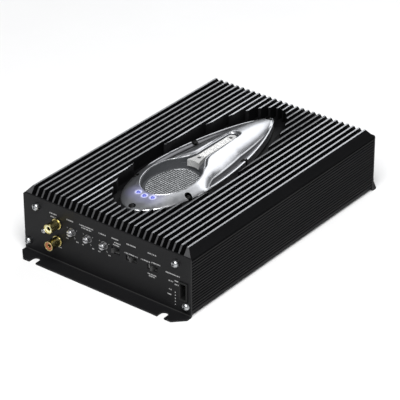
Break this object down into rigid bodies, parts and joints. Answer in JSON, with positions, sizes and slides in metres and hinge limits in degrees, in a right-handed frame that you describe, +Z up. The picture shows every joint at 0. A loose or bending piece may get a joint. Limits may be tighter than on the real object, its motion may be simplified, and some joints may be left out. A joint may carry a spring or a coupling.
{
  "type": "car audio amplifier",
  "caption": "Compact finned car audio amplifier with flanged end plates, a domed badge with an oval grille, input jacks, level controls, slide switches, terminals and fuses.",
  "frame": {"origin": "middle of the surface that the flanges stand on", "axes": "+Z up, +Y along the fins towards the power terminals, +X across"},
  "size_m": [0.174, 0.284, 0.0643],
  "materials": {
    "black_extrusion": "black anodised extrusion, fin tops skimmed bright",
    "black_sheet": "fine black powder coat",
    "floor_sheet": "black chromated steel sheet",
    "zinc_screw": "bright zinc plated steel",
    "black_screw": "blackened steel",
    "polished_cast": "polished and satin chromed casting",
    "tray_plastic": "fine moulded grain",
    "mesh_metal": "perforated sheet, satin",
    "bar_metal": "knurled satin bar",
    "board": "green solder resist on glass epoxy",
    "blue_lens": "clear blue epoxy, lit",
    "black_moulding": "glass filled moulding",
    "gilt": "gold flashed brass",
    "white_insulator": "moulded",
    "red_insulator": "moulded",
    "can_steel": "plated steel can",
    "shaft_metal": "turned and plated",
    "lever_plastic": "moulded",
    "ferrite": "coated powder core",
    "enamelled_copper": "enamelled copper wire",
    "capacitor_sleeve": "shrink sleeve on an aluminium can",
    "epoxy": "moulded epoxy",
    "thermal_pad": "filled silicone",
    "spring_steel": "plated spring steel",
    "resistor_coat": "ceramic coat",
    "terminal_brass": "nickel flashed brass",
    "fuse_plastic": "translucent moulding",
    "fuse_blade": "tinned zinc"
  },
  "bodies": {
    "amplifier": {"heatsink_housing": "black_extrusion", "bottom_plate": "floor_sheet", "bottom_plate_screws": "black_screw", "front_plate": "black_sheet", "rear_plate": "black_sheet", "front_plate_screws": "zinc_screw", "rear_plate_screws": "zinc_screw", "badge_cover": "polished_cast", "badge_screws": "zinc_screw", "inset_tray": "tray_plastic", "grille_mesh": "mesh_metal", "spine_bar": "bar_metal", "spine_bar_screws": "black_screw", "led_board": "board", "indicator_leds": "blue_lens", "jack_block": "black_moulding", "jack_sleeves": "gilt", "jack_insulator_white": "white_insulator", "jack_insulator_red": "red_insulator", "jack_contacts": "gilt", "jack_block_screw": "zinc_screw", "control_board": "board", "control_bodies": "can_steel", "switch_bodies": "can_steel", "input_socket": "black_moulding", "input_socket_pins": "gilt", "main_board": "board", "board_standoffs": "can_steel", "board_screws": "zinc_screw", "board_link": "black_moulding", "transformer_core": "ferrite", "transformer_winding": "enamelled_copper", "filter_capacitors": "capacitor_sleeve", "output_transistors": "epoxy", "transistor_pads": "thermal_pad", "transistor_clamps": "spring_steel", "clamp_screws": "zinc_screw", "output_inductors": "enamelled_copper", "power_resistors": "resistor_coat", "control_chips": "epoxy", "power_terminal_housing": "black_moulding", "power_terminals": "terminal_brass", "power_terminal_screws": "zinc_screw", "speaker_terminal_housing": "black_moulding", "speaker_terminals": "terminal_brass", "speaker_terminal_screws": "zinc_screw", "fuse_holder": "black_moulding", "fuse_clips": "terminal_brass"},
    "gain_control": {"gain_shaft": "shaft_metal"},
    "boost_control": {"boost_shaft": "shaft_metal"},
    "frequency_control": {"frequency_shaft": "shaft_metal"},
    "range_switch": {"range_switch_lever": "lever_plastic"},
    "filter_switch": {"filter_switch_lever": "lever_plastic"},
    "source_switch": {"source_switch_lever": "lever_plastic"},
    "left_fuse": {"left_fuse_body": "fuse_plastic", "left_fuse_blades": "fuse_blade"},
    "right_fuse": {"right_fuse_body": "fuse_plastic", "right_fuse_blades": "fuse_blade"}
  },
  "joints": [
    {"name": "gain_turn", "type": "hinge", "parent": "amplifier", "child": "gain_control", "pos_m": [-0.035, -0.128, 0.0349], "axis": [0, 1, 0], "range_deg": [-150, 150]},
    {"name": "boost_turn", "type": "hinge", "parent": "amplifier", "child": "boost_control", "pos_m": [-0.018, -0.128, 0.0349], "axis": [0, 1, 0], "range_deg": [-150, 150]},
    {"name": "frequency_turn", "type": "hinge", "parent": "amplifier", "child": "frequency_control", "pos_m": [-0.001, -0.128, 0.0349], "axis": [0, 1, 0], "range_deg": [-150, 150]},
    {"name": "range_select", "type": "slide", "parent": "amplifier", "child": "range_switch", "axis": [1, 0, 0], "range_m": [0, 0.0038]},
    {"name": "filter_select", "type": "slide", "parent": "amplifier", "child": "filter_switch", "axis": [1, 0, 0], "range_m": [-0.0025, 0.0025]},
    {"name": "source_select", "type": "slide", "parent": "amplifier", "child": "source_switch", "axis": [1, 0, 0], "range_m": [-0.0025, 0.0025]},
    {"name": "left_fuse_pull", "type": "slide", "parent": "amplifier", "child": "left_fuse", "axis": [0, 1, 0], "range_m": [0, 0.015]},
    {"name": "right_fuse_pull", "type": "slide", "parent": "amplifier", "child": "right_fuse", "axis": [0, 1, 0], "range_m": [0, 0.015]}
  ]
}
